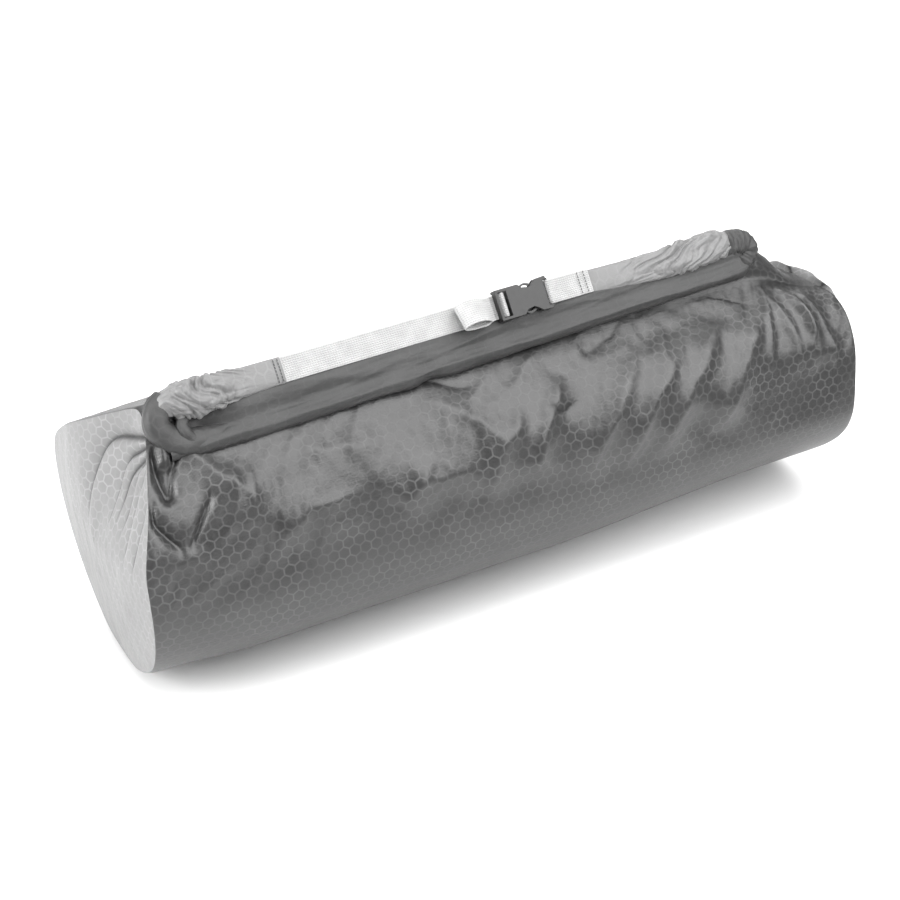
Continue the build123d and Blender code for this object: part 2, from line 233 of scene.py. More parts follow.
class Nodes:
    """A short way to write a material's node tree."""

    def __init__(self, name):
        self.material = bpy.data.materials.new(name)
        self.material.use_nodes = True
        self.tree = self.material.node_tree
        self.shader = self.tree.nodes["Principled BSDF"]

    def add(self, kind, inputs=(), **settings):
        node = self.tree.nodes.new(kind)
        for key, value in settings.items():
            setattr(node, key, value)
        for key, value in dict(inputs).items():
            self.set(node.inputs[key], value)
        return node

    def set(self, socket, value):
        if isinstance(value, bpy.types.NodeSocket):
            self.tree.links.new(value, socket)
        else:
            socket.default_value = value

    def math(self, operation, a, b=0.0):
        return self.add("ShaderNodeMath", {0: a, 1: b}, operation=operation).outputs[0]

    def vector(self, operation, *vectors):
        return self.add("ShaderNodeVectorMath", enumerate(vectors), operation=operation).outputs[0]

    def dot(self, a, b):
        return self.add("ShaderNodeVectorMath", {0: a, 1: b}, operation="DOT_PRODUCT").outputs[1]

    def scale(self, vector, factor):
        inputs = {0: vector, "Scale": factor}
        return self.add("ShaderNodeVectorMath", inputs, operation="SCALE").outputs[0]

    def ramp(self, value, low, high, from_=0.0, to=1.0):
        node = self.add(
            "ShaderNodeMapRange",
            {"Value": value, "From Min": low, "From Max": high, "To Min": from_, "To Max": to},
            interpolation_type="SMOOTHSTEP",
        )
        return node.outputs["Result"]

    def mix_colour(self, share, a, b):
        # sockets 6, 7 and out 2 are the colour ones: the node has an A, a B and a result for each type
        node = self.add("ShaderNodeMix", data_type="RGBA")
        for key, value in ((0, share), (6, a), (7, b)):
            self.set(node.inputs[key], value)
        return node.outputs[2]

    def flat(self):
        return self.add("ShaderNodeUVMap", uv_map="flat").outputs[0]

    def noise(self, vector, scale, detail, roughness=0.5):
        inputs = {"Vector": vector, "Scale": scale, "Detail": detail, "Roughness": roughness}
        return self.add("ShaderNodeTexNoise", inputs).outputs["Fac"]

    def bump(self, height, distance, strength, normal=None):
        inputs = {"Height": height, "Distance": distance, "Strength": strength}
        if normal is not None:
            inputs["Normal"] = normal
        return self.add("ShaderNodeBump", inputs).outputs["Normal"]


def grey(value):
    return (value, value, value, 1)


HEXAGON = 9.3 * MM  # across its flats
HEXAGON_LINE = 0.9 * MM  # half the width of the line between two cells, with its soft edge
SLANT = math.sqrt(3) / 2


def honeycomb(n, flat):
    """1 on the lines of a honeycomb and 0 inside its cells."""
    scaled = n.scale(flat, 1 / HEXAGON)
    half = (0.5, SLANT, 1.0)
    less = tuple(-h for h in half)
    shifted = n.vector("ADD", scaled, half)
    distances = []
    for start in (scaled, shifted):
        size = n.vector("ABSOLUTE", n.vector("WRAP", start, half, less))
        x = n.add("ShaderNodeSeparateXYZ", {0: size}).outputs[0]
        distances.append(n.math("MAXIMUM", x, n.dot(size, (0.5, SLANT, 0))))
    nearest = n.math("MINIMUM", *distances)
    line = HEXAGON_LINE / HEXAGON
    return n.ramp(nearest, 0.5 - line, 0.5 - 0.35 * line)


def ripstop(name, cell_colour, line_colour, gloss, line_gloss, mottle=0.1, rough=0.38):
    """Thin coated nylon: glossy cells between lighter honeycomb lines, with a fine weave. Painted shade
    from the mesh darkens its colour in the creases."""
    n = Nodes(name)
    flat = n.flat()
    lines = honeycomb(n, flat)
    wear = n.ramp(n.noise(flat, 38, 2), 0.38, 0.62, 0.45, 1.0)
    lines_seen = n.math("MULTIPLY", lines, wear)
    base = n.mix_colour(lines_seen, grey(cell_colour), grey(line_colour))
    cloud = n.ramp(n.noise(flat, 25, 3), 0.3, 0.7, 1 - mottle, 1 + mottle)
    # painted shade in the creases, read from the mesh, darkens the base colour
    creases = n.add("ShaderNodeAttribute", attribute_name="shade").outputs["Fac"]
    n.set(n.shader.inputs["Base Color"], n.scale(base, n.math("MULTIPLY", cloud, creases)))
    n.set(n.shader.inputs["Specular IOR Level"], n.ramp(lines_seen, 0.0, 1.0, gloss, line_gloss))
    n.set(n.shader.inputs["Roughness"], n.ramp(lines_seen, 0.0, 1.0, rough, rough + 0.08))
    # three layers of relief: the woven threads, slubs drawn out along them, and a fine crinkle
    wave = {"Vector": flat, "Scale": 330.0, "Distortion": 0.8}
    threads = [
        n.add("ShaderNodeTexWave", wave, bands_direction=way).outputs["Fac"]
        for way in ("X", "Y")
    ]
    normal = n.bump(n.math("ADD", *threads), 0.06 * MM, 0.4)
    drawn_out = n.vector("MULTIPLY", flat, (0.22, 1, 1))
    normal = n.bump(n.noise(drawn_out, 620, 2, 0.6), 0.35 * MM, 0.5, normal)
    normal = n.bump(n.noise(flat, 170, 3, 0.6), 0.5 * MM, 0.3, normal)
    n.set(n.shader.inputs["Normal"], normal)
    return n.material


WEBBING_ROW = 1.7 * MM  # from one row of threads to the next, across the webbing
WEBBING_DASH = 2.1 * MM  # from one thread's dash to the next, along the webbing


def webbing_material():
    """Flat nylon webbing: rows of short slanted dashes along it."""
    n = Nodes("webbing")
    flat = n.flat()
    x, y, _ = n.add("ShaderNodeSeparateXYZ", {0: flat}).outputs
    ribs = n.math("SINE", n.math("MULTIPLY", y, math.pi / WEBBING_ROW))
    slant = n.math("MULTIPLY", ribs, 1.5)
    dashes = n.math("SINE", n.math("ADD", n.math("MULTIPLY", x, 2 * math.pi / WEBBING_DASH), slant))
    rows = n.math("ABSOLUTE", ribs)
    height = n.math("ADD", rows, n.math("MULTIPLY", dashes, 0.3))
    # painted shade: the colour is darker in the grooves between rows and dashes, where the bump dips
    shade = n.ramp(height, -0.2, 0.9)
    colour = n.mix_colour(shade, grey(0.29), grey(0.42))
    cloud = n.ramp(n.noise(flat, 90, 3), 0.3, 0.7, 0.92, 1.06)
    n.set(n.shader.inputs["Base Color"], n.scale(colour, cloud))
    n.shader.inputs["Roughness"].default_value = 0.7
    n.shader.inputs["Sheen Weight"].default_value = 0.15
    n.set(n.shader.inputs["Normal"], n.bump(height, 0.3 * MM, 0.8))
    return n.material


def plastic_material(name, colour, roughness):
    """Moulded acetal: finely textured, a little worn."""
    n = Nodes(name)
    place = n.add("ShaderNodeTexCoord").outputs["Object"]
    cloud = n.noise(place, 300, 3)
    tint = n.scale(grey(colour)[:3], n.ramp(cloud, 0.3, 0.7, 0.85, 1.15))
    n.set(n.shader.inputs["Base Color"], tint)
    n.set(n.shader.inputs["Roughness"], n.ramp(cloud, 0.3, 0.7, roughness - 0.05, roughness + 0.08))
    n.set(n.shader.inputs["Normal"], n.bump(n.noise(place, 2600, 2), 0.04 * MM, 0.5))
    return n.material


def thread_material(name, colour):
    """Twisted sewing thread, with painted shade between its strands."""
    n = Nodes(name)
    place = n.add("ShaderNodeTexCoord").outputs["Object"]
    wave = {"Vector": place, "Scale": 900.0}
    twist = n.add("ShaderNodeTexWave", wave, bands_direction="DIAGONAL").outputs["Fac"]
    n.set(n.shader.inputs["Base Color"], n.mix_colour(twist, grey(colour * 0.6), grey(colour)))
    n.shader.inputs["Roughness"].default_value = 0.6
    n.set(n.shader.inputs["Normal"], n.bump(twist, 0.1 * MM, 0.6))
    return n.material


dark_fabric = ripstop("dark_ripstop", 0.03, 0.08, 0.7, 0.5)
rolled_fabric = ripstop("dark_ripstop_rolled", 0.045, 0.06, 0.4, 0.35, rough=0.5)
pale_fabric = ripstop("pale_ripstop", 0.195, 0.26, 0.22, 0.2, mottle=0.04, rough=0.45)
# the legs' copy of the pale cloth is darker than pale_fabric: painted shade for the gathered legs
gathered_fabric = ripstop("pale_ripstop_gathered", 0.16, 0.185, 0.5, 0.5, mottle=0.06, rough=0.36)
webbing = webbing_material()
buckle_plastic = plastic_material("buckle_plastic", 0.022, 0.4)
pale_thread = thread_material("pale_thread", 0.55)
dark_thread = thread_material("dark_thread", 0.05)

# ---------------------------------------------------------------- the filled body

# Cross-sections of the body as (back, up) in millimetres, from under the roll, down the front, round
# the underside and up the back to the ridge behind the straps. The same place on each section has the
# same place in its list.
MIDDLE_SECTION = [
    (-50, 221), (-68, 208), (-90, 190), (-107, 162), (-114, 127), (-119, 92), (-111, 57), (-86, 30),
    (-53, 9), (-15, 0), (25, 0), (62, 14), (95, 42), (116, 78), (123, 112), (115, 143), (94, 168),
    (60, 195), (22, 220), (-10, 238), (-30, 247), (-46, 236),
]
LEFT_SECTION = [
    (-52, 226), (-70, 207), (-92, 187), (-108, 162), (-115, 129), (-116, 92), (-105, 59), (-81, 33),
    (-49, 14), (-12, 8), (24, 8), (60, 22), (93, 47), (114, 78), (122, 110), (117, 140), (98, 163),
    (58, 191), (26, 211), (-2, 228), (-26, 240), (-42, 237),
]
RIGHT_SECTION = [
    (-50, 196), (-70, 197), (-92, 186), (-108, 162), (-116, 128), (-119, 94), (-109, 66), (-85, 41),
    (-53, 24), (-14, 13), (24, 11), (60, 23), (93, 46), (114, 78), (121, 110), (113, 138), (92, 160),
    (60, 175), (26, 186), (-4, 191), (-22, 194), (-36, 195),
]
COLUMNS, ROWS = 380, 440
LEAN_LEFT = 34  # how far the left end's top leans in towards the rolled mouth
REACH_RIGHT = 3  # how far the right end bulges out past the plain length
position = np.linspace(-1, 1, ROWS)  # along the sack, from its left end to its right one

middle, left, right = (
    spline(places, COLUMNS, closed=True)
    for places in (MIDDLE_SECTION, LEFT_SECTION, RIGHT_SECTION)
)
middle_down = lengths_along(middle)  # how far down the cloth each column is
full_girth = middle_down[-1]

# The middle section turns into an end's section near that end, and on the low front from further away.
to_left = (1 - smooth(position, -1.0, -0.72))[:, None, None]
low_front = bump(middle_down, 215, 75)[None, :, None]
to_right = (1 - low_front) * smooth(position, 0.74, 1.0)[:, None, None]
to_right = to_right + low_front * smooth(position, 0.05, 0.8)[:, None, None]
section = middle[None] * (1 - to_left - to_right) + left[None] * to_left + right[None] * to_right
back, height = section[..., 0], section[..., 1]
lean = LEAN_LEFT * smooth(height, 140, 250) * (1 - smooth(back, -30, 75))
near_left_end = smooth(-position, 0.45, 1.0)[:, None]
near_right_end = smooth(position, 0.45, 1.0)[:, None]
shift = lean * near_left_end + REACH_RIGHT * near_right_end
body = np.stack([position[:, None] * half_length + shift, back, height], -1)
cloth_x = body[..., 0]
cloth_down = np.broadcast_to(middle_down[None], cloth_x.shape)

# Folds of the front, each as (kind, width, height, places): the places are along the sack and down the
# cloth from the rolled mouth's lower edge. A tuck is a broad ridge, broader still on its left, and a
# valley also has painted shade along its middle.
FOLDS_END = 200  # how far down the cloth they reach at most
FOLDS = [
    ("tuck", 15, 12.0, [(256, 20), (248, 36), (220, 61), (198, 92), (176, 130)]),
    ("tuck", 14, 12.0, [(206, 20), (194, 38), (163, 68), (137, 96), (114, 136)]),
    ("tuck", 12, 10.0, [(166, 28), (153, 44), (124, 68), (101, 96), (80, 136)]),
    ("tuck", 11, 9.5, [(118, 28), (105, 47), (83, 72), (63, 94), (48, 136)]),
    ("tuck", 11, 10.0, [(46, 36), (31, 52), (8, 82), (-10, 120)]),
    ("tuck", 9, 7.0, [(0, 48), (-14, 66), (-34, 85), (-46, 122)]),
    ("valley", 5, 3.0, [(50, 60), (31, 67), (14, 58)]),
    ("tuck", 7, 6.5, [(258, 4), (264, 26), (270, 56), (272, 100)]),
    ("tuck", 7, 6.5, [(272, 4), (287, 26), (293, 61), (296, 104)]),
    ("tuck", 6, 5.5, [(286, 10), (300, 32), (309, 70), (314, 104)]),
    ("ridge", 4, 3.0, [(276, 8), (290, 44), (284, 84)]),
    ("ridge", 5, 3.0, [(262, 8), (246, 60), (236, 92)]),
    ("valley", 4, 7.5, [(-303, -4), (-304, 16), (-304, 50)]),
    ("valley", 4, 7.0, [(-280, 4), (-291, 20), (-304, 46)]),
    ("ridge", 6, 4.0, [(-296, -4), (-297, 10), (-298, 24)]),
    ("tuck", 7, 4.5, [(-284, -4), (-269, 26), (-255, 46), (-232, 76)]),
    ("valley", 4, 6.5, [(-318, 20), (-317, 56), (-302, 96)]),
    ("valley", 4, 6.0, [(-270, 40), (-280, 62), (-300, 92)]),
    ("tuck", 6, 3.5, [(-250, 30), (-256, 60), (-272, 92)]),
    ("tuck", 9, 4.5, [(-150, 82), (-188, 84), (-214, 92), (-232, 108)]),
    ("tuck", 9, 5.0, [(-90, 68), (-104, 86), (-126, 106)]),
    ("tuck", 8, 3.5, [(-50, 96), (-92, 88), (-118, 96)]),
    ("ridge", 10, 2.5, [(-214, 40), (-176, 42), (-120, 54)]),
    ("tuck", 10, 4.0, [(-14, 92), (-40, 62), (-66, 36), (-94, 14)]),
    ("ridge", 7, 2.0, [(-236, 30), (-240, 60), (-246, 90)]),
    ("valley", 6, 2.5, [(-92, 2), (-64, 16), (-30, 30)]),
    ("ridge", 8, 2.5, [(40, 4), (14, 22), (-18, 48)]),
    ("valley", 7, 2.0, [(120, 4), (98, 16), (60, 30)]),
]


def beside(places, x, y):
    """How far each point is from a curved line, the same with a sign for its side (positive towards -x
    where the line runs along +y), and how far along the line it is, from 0 to 1."""
    line = evenly(spline(places, 60), 30)
    nearest = np.full(x.shape, 1e9)
    signed, share = np.zeros_like(x), np.zeros_like(x)
    for k in range(len(line) - 1):
        step = line[k + 1] - line[k]
        gap_x, gap_y = x - line[k, 0], y - line[k, 1]
        t = np.clip((gap_x * step[0] + gap_y * step[1]) / (step @ step), 0, 1)
        distance = np.hypot(gap_x - t * step[0], gap_y - t * step[1])
        closer = distance < nearest
        nearest = np.where(closer, distance, nearest)
        side = np.sign(step[0] * gap_y - step[1] * gap_x)
        signed = np.where(closer, side * distance, signed)
        share = np.where(closer, (k + t) / (len(line) - 1), share)
    return nearest, signed, share


def ridge(distance, roundness):
    """1 on a fold's crest, falling off along its flanks. The roundness is how broad its crest is."""
    return np.exp(roundness - np.sqrt(distance**2 + roundness**2))


def fold_field(x, down):
    """How far the folds of the front move its cloth out, in millimetres, and the painted shade in its
    creases.
    """
    total, shade = np.zeros_like(x), np.ones_like(x)
    near = down < FOLDS_END
    here_x = x[near] + 2.5 * noise(x[near] / 24, down[near] / 24, 5)
    here_down = down[near] + 2.5 * noise(x[near] / 24, down[near] / 24, 6)
    found, dark = np.zeros_like(here_x), np.ones_like(here_x)
    for kind, width, size, places in FOLDS:
        nearest, signed, share = beside(places, here_x, here_down)
        fade = smooth(share, 0.0, 0.35) * (1 - smooth(share, 0.75, 1.0))
        spread = width * (0.65 + 0.6 * share)
        if kind == "tuck":
            spread = np.where(signed < 0, 1.2 * spread, 1.5 * spread)
        moved = size * fade * ridge(nearest / spread, 0.2)
        if kind == "valley":
            found -= moved
            # painted shade along the valley's middle
            dark *= 1 - 0.45 * fade * bump(nearest, 0, 2.5)
        else:
            found += moved
    total[near], shade[near] = found, dark
    return total, shade


def body_relief(x, down):
    """How far the cloth of the body stands out from its plain section, in millimetres, and its painted
    shade, in its valleys and under the roll's edge.
    """
    front = 1 - smooth(down, 85, 165)
    behind = smooth(down, 430, 560) * (1 - smooth(down, full_girth - 40, full_girth))
    # the cloth is pulled towards the roll's two ends
    from_left, from_right = np.hypot(x + 300, down * 0.9), np.hypot(x - 268, down * 0.9)
    pull = np.exp(-from_left / 70) + np.exp(-from_right / 90)
    bent_x = x + 14 * noise(x / 70, down / 60, 3)
    bent_down = down + 10 * noise(x / 60, down / 70, 4)
    slanted = bent_x + 0.6 * bent_down
    steep = bent_down - 0.5 * bent_x
    loose = 2.4 * (crumple(slanted / 80, (bent_down - 0.3 * bent_x) / 150, 11) - 0.6)
    small = 1.1 * (crumple(slanted / 30, steep / 64, 23) - 0.6)
    tiny = 0.3 * (crumple(bent_x / 13, bent_down / 19, 37, 2) - 0.6)
    facets = 2.0 * (creased(slanted / 36, steep / 62, 29) - 0.5)
    facets += 0.8 * (creased((bent_x + 0.2 * bent_down) / 15, (bent_down - 0.8 * bent_x) / 30, 31) - 0.5)
    gathers = 1.2 * (crumple((x + 0.3 * down) / 15, down / 60, 41, 2) - 0.6) * np.exp(-down / 26)
    front_part = front * (0.45 + 0.55 * smooth(down, 2, 30))
    relief = front_part * (loose + facets + small * (0.5 + pull) + tiny) + gathers
    folds, shade = fold_field(x, down)
    relief += folds * smooth(down, -1, 9)
    relief += behind * (2.2 * (crumple((x - 0.4 * down) / 120, down / 90, 51) - 0.6) + 0.6 * small)
    relief += 0.35 * noise(x / 60, down / 45, 61)
    # painted shadow on the cloth just under the rolled mouth's edge
    painted_roll_shadow = bump(down, 0, 12)
    return relief, shade * (1 - 0.6 * painted_roll_shadow)


relief, body_shade = body_relief(cloth_x, cloth_down)
# the relief fades out at the end seams, under the roll and where the sack rests on the ground
off_seams = 1 - smooth(np.abs(position), 0.985, 1.0)[:, None]
off_roll = smooth(cloth_down, 0, 8) * (1 - smooth(cloth_down, full_girth - 18, full_girth - 6))
off_ground = smooth(height, 0, 14)
relief = relief * (0.15 + 0.85 * off_seams) * off_roll * (0.1 + 0.9 * off_ground)
# and the cloth dips towards those seams
body_normals = -normals_of(body)
seam_dip = 1.6 * np.exp(-((1 - np.abs(position)) * half_length / 3.5))[:, None]
body = body + body_normals * (relief - seam_dip * off_ground)[..., None]
body[..., 2] = np.maximum(body[..., 2], 0.0)
body_uv = np.stack([cloth_x * MM, cloth_down * MM], -1)
body_piece = grid_mesh("body_cloth", body * MM, body_uv, dark_fabric, shade=body_shade)
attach(body_piece, "root")
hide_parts("body_wrap", "packed_load")

# ---------------------------------------------------------------- the pale end panels

PANEL_RINGS = 130
PANEL_CENTRE = 112.0  # above the ground
PANEL_DOME = 7.0


def end_panel(name, rim, direction, creases, shoulder=0.0):
    """A pale panel inside a rim of the body, a little domed, with creases that fan out from the roll's
    end. The direction is -1 for the left end and 1 for the right one. A crease is (width, height,
    places), with its places as (back, up). shoulder is how far the panel's top stands above the rim, in
    millimetres."""
    inwards = np.linspace(0, 1, PANEL_RINGS) ** 0.8  # 0 at the rim and 1 at the centre
    centre = np.array([direction * half_length, 0, PANEL_CENTRE])
    points = centre[None, None] + (rim[None] - centre[None, None]) * (1 - inwards)[:, None, None]
    y, z = points[..., 1], points[..., 2]
    dome = PANEL_DOME * (1 - (1 - inwards[:, None]) ** 2.2) * (1 - 0.5 * smooth(z, 150, 240))
    total, shade = np.zeros_like(y), np.ones_like(y)
    for width, size, places in creases:
        nearest, signed, share = beside(places, y, z)
        fade = smooth(share, 0, 0.06) * (1 - smooth(share, 0.55, 1.0))
        spread = width * np.where(signed > 0, 3.0, 1.0) * (0.6 + share)
        total += size * fade * ridge(nearest / spread, 0.15)
        # valley creases (negative height) get painted shade along their middles
        if size < 0:
            shade *= 1 - 0.75 * fade * bump(nearest, 0, 1.6)
    wrinkles = 1.6 * (crumple(y / 60, z / 110, 71) - 0.6) + 0.5 * (crumple(y / 22, z / 40, 77) - 0.6)
    off_rim = smooth(inwards, 0.0, 0.08)[:, None]
    swell = np.sin(math.pi * np.clip(inwards / 0.24, 0, 1))[:, None] * smooth(z, 130, 185)
    swell = swell * smooth(y, -95, -50) * (1 - smooth(y, 10, 50))
    moved = dome + off_rim * (total + wrinkles) + 0.35 * shoulder * swell
    points = points + np.array([direction, 0, 0]) * moved[..., None]
    points[..., 2] += shoulder * swell
    flat = np.stack([y, z], -1) * MM
    piece = grid_mesh(name, points * MM, flat, pale_fabric, flip=direction > 0, shade=shade)
    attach(piece, "root")
    return piece


LEFT_CREASES = [
    (2.6, -6.5, [(-56, 226), (-24, 213), (6, 196), (15, 154), (10, 105)]),
    (2.6, -7.0, [(-58, 224), (-36, 208), (-20, 186), (-20, 129)]),
    (1.8, -4.0, [(-58, 222), (-44, 204), (-33, 182), (-35, 138)]),
    (2.4, -7.0, [(-60, 220), (-50, 206), (-44, 190), (-49, 140)]),
    (2.0, -5.5, [(-64, 216), (-60, 200), (-60, 174), (-68, 124)]),
    (2.0, -4.0, [(-74, 208), (-80, 186), (-84, 156), (-84, 120)]),
]
RIGHT_CREASES = [
    (6, -3.0, [(-36, 210), (0, 180), (20, 145), (24, 110)]),
    (7, 3.0, [(-40, 208), (-30, 176), (-26, 140)]),
    (6, -3.0, [(-46, 206), (-62, 176), (-66, 140)]),
    (7, 2.5, [(-30, 208), (30, 184), (66, 150)]),
]
left_panel = end_panel("left_end_cloth", body[0], -1, LEFT_CREASES)
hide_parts("end_panel_left", "end_seam_left")
right_panel = end_panel("right_end_cloth", body[-1], 1, RIGHT_CREASES, shoulder=13)
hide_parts("end_panel_right", "end_seam_right")

# ---------------------------------------------------------------- the rolled mouth

# The roll's cross-section at its left and right ends, as (up the slope, out) from the strap's middle
ROLL_LEFT = [
    (-42, -13), (-45, -7), (-44, -1), (-39, 2.5), (-33, 1.6), (-28, 0.2), (-18, 2.2), (-8, 1.2), (2, -0.5),
    (7, -4), (9, -9), (7, -15), (0, -19), (-18, -20), (-34, -19),
]
ROLL_RIGHT = [
    (-32, -11), (-35, -6), (-34, -1), (-30, 2.0), (-25, 2.2), (-19, 1.8), (-12, 2.2), (-6, 1.4), (-1, 0),
    (1, -3), (3, -9), (1, -15), (-3, -19), (-13, -20), (-25, -18),
]
ROLL_FROM, ROLL_TO = -292, 262  # along the strap
ROLL_ROWS, ROLL_COLUMNS = 420, 120
ROLL_CLOTH = 400  # where the roll's cloth lies on the flat one, so that its honeycomb isn't the body's
roll_at = np.linspace(ROLL_FROM, ROLL_TO, ROLL_ROWS)
even_share = (roll_at - ROLL_FROM) / (ROLL_TO - ROLL_FROM)
to_last = (0.3 * smooth(roll_at, ROLL_FROM, ROLL_TO) + 0.7 * even_share)[:, None, None]
first, last = (spline(places, ROLL_COLUMNS, closed=True) for places in (ROLL_LEFT, ROLL_RIGHT))
roll_section = first[None] * (1 - to_last) + last[None] * to_last
roll = np.dstack([np.broadcast_to(roll_at[:, None], roll_section.shape[:2]), roll_section])
x_grid, around_grid = np.meshgrid(roll_at, lengths_along(first), indexing="ij")
wave = 2.2 * (crumple(x_grid / 150, around_grid / 20, 81) - 0.5)
wave += 0.5 * (crumple(x_grid / 36, around_grid / 12, 83) - 0.5)
# the cloth is pinched left of the buckle
pinch = 1.6 * bump(x_grid, -90, 12) * bump(around_grid, 12, 9)
pinch -= 2.6 * bump(x_grid, -72, 10) * bump(around_grid, 14, 12)
pinch += 1.2 * bump(x_grid + 0.8 * around_grid, -40, 14) * bump(around_grid, 22, 16)
off_strap = smooth(np.abs(roll[..., 1]), 9, 15)
roll = roll + normals_of(roll) * ((wave + pinch) * (0.12 + 0.88 * off_strap))[..., None]
# a pocket opens at the left end, inside the turned-back edge, and that edge thins towards its end
pocket = smooth(-roll[..., 0], 228, 268) * smooth(roll[..., 1], -34, -24)
roll[..., 2] -= 9.0 * pocket
roll[..., 2] += 9.0 * bump(roll[..., 0], -279, 8) * bump(roll[..., 1], -25, 7)
edge_middle = np.array([-36.0, -9.0])
thinner = (1 - 0.35 * smooth(-roll[..., 0], 262, 285))[..., None]
thinned = edge_middle + (roll[..., 1:] - edge_middle) * thinner
roll[..., 1:] = np.where(roll[..., 1:2] < -26, thinned, roll[..., 1:])
# the right end is rounded off around the roll's middle, and stays a little open at its tip
ROUNDED_FROM, ROUNDED_LENGTH, ROLL_MIDDLE = 238, 24.5, -8
rounded_share = np.clip((roll_at - ROUNDED_FROM) / ROUNDED_LENGTH, 0, 1)
closing = np.sqrt(1 - rounded_share**2)[:, None, None]
roll[..., 1:] = ROLL_MIDDLE + (roll[..., 1:] - ROLL_MIDDLE) * closing
roll_uv = np.stack([x_grid * MM, (around_grid + ROLL_CLOTH) * MM], -1)
# painted shade on the roll's lower underside, where it meets the body
painted_underside_shade = smooth(-roll[..., 1], 24, 36) * smooth(-roll[..., 2], 2, 9)
roll_shade = 1 - 0.6 * painted_underside_shade
roll_piece = grid_mesh("rolled_mouth", closure(roll), roll_uv, rolled_fabric, shade=roll_shade)
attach(roll_piece, "root")
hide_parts("mouth_roll", "mouth_stiffener")


def roll_end(name, path, sections, folds, size, seed):
    """Dark cloth of the roll that turns back at one of its ends, with pleats across it."""

    def ripple(u, angle, length):
        pleats = crumple(u * folds + 0.25 * np.sin(angle), angle / 2.6, seed, 2)
        moved = -size * (pleats - 0.5) - 0.25 * size * noise(u * length / 9, angle * 2, seed + 5)
        # and painted shade along the pleats' creases
        return moved, 1 - 0.3 * smooth(pleats, 0.72, 1.0)

    piece = tube(name, path, sections, rolled_fabric, ripple)
    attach(piece, "root")
    return piece


left_bend = roll_end(
    "left_roll_end",
    [
        (-214, -34, -10), (-240, -34, -9), (-264, -33, -8), (-281, -30, -7), (-291, -23, -6),
        (-295, -13, -5), (-291, -3, -4), (-283, 3, -4),
    ],
    [(7, 7), (9, 9), (10.5, 10), (11, 10), (10.5, 10), (10.5, 10), (10.5, 9.5), (10, 8)],
    folds=6, size=1.2, seed=91,
)
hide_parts("roll_end_left")
# a small curl of cloth in the left end's pocket
roll_end(
    "left_roll_curl",
    [
        (-256, -34, -10), (-265, -34, -5), (-273, -30, -1.5), (-278, -22, -0.5), (-275, -14, -2),
        (-266, -11, -7),
    ],
    [(3, 3), (4.5, 4), (5, 4.5), (5, 4.5), (4.5, 4), (3, 3)],
    folds=4, size=0.8, seed=93,
)
right_bend = roll_end(
    "right_roll_end",
    [
        (232, -24, -9), (245, -23, -8), (254, -17, -6), (257, -10, -5), (251, -5, -4), (239, -3, -2),
        (224, -3, -1),
    ],
    [(9, 9), (9.5, 9), (10, 9.5), (10.5, 10), (11.5, 10), (11.5, 9), (10, 7)],
    folds=15, size=2.6, seed=97,
)
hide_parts("roll_end_right")

LEG_CLOTH = 0.9  # where a leg's cloth lies along the flat one, in metres


def leg(name, path, sections, folds, size, seed, slant):
    """A pale leg: gathered cloth at the bend that lies flat where the webbing begins. The pleats cross it
    at a slant."""

    def ripple(u, angle, length):
        gathered = (1 - smooth(u, 0.42, 0.85)) * smooth(u, 0.02, 0.18)
        wander = 0.8 * noise(u * 4, angle, seed + 3)
        uneven = 0.75 + 0.45 * noise(u * 6, angle * 0.8, seed + 9)
        pleats = crumple(u * folds * (1.25 - 0.5 * u) + slant * np.cos(angle) + wander, angle / 2.6, seed, 2)
        long_folds = crumple(u * 2.2 + 0.5 * slant * np.cos(angle), angle / 0.9, seed + 6, 2)
        moved = size * gathered * (uneven * (0.6 - pleats) + 0.4 * (0.6 - long_folds))
        # and painted shade in the gathered pleats' creases
        return moved, 1 - 0.55 * gathered * smooth(pleats, 0.72, 1.0)

    piece = tube(
        name, path, sections, gathered_fabric, ripple, count=260, sides=110, uv_offset=LEG_CLOTH
    )
    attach(piece, "root")
    return piece


left_leg = leg(
    "left_leg",
    [
        (-290, -11, -5), (-288, -6, -4), (-283, -1, -2), (-270, -1, 0), (-250, -1, 0.5),
        (-225, -0.6, 1), (-205, 0, 1.8), (-190, 0, 2.2),
    ],
    [(4, 4), (8, 7.5), (11, 8.5), (13.2, 8), (12.8, 6.5), (11.3, 4.2), (10.7, 2.2), (10.5, 1.9)],
    folds=9, size=7.0, seed=101, slant=0.9,
)
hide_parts("gusset_leg_left")
right_leg = leg(
    "right_leg",
    [
        (246, -6, -4), (240, -3, -3), (230, -2, -2), (216, -2, 0), (190, -3, 0.5), (150, -3.5, 1),
        (110, -2, 1), (78, -0.8, 0.8),
    ],
    [(4, 4), (9, 7.5), (12, 8.5), (12.8, 8), (12.6, 7), (11.6, 5), (10.6, 2.4), (10.3, 1.2)],
    folds=11, size=5.5, seed=107, slant=-1.1,
)
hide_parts("gusset_leg_right")

# ---------------------------------------------------------------- straps

STRAP_HALF_WIDTH = 10.0
STRAP_HALF_THICKNESS = 0.7


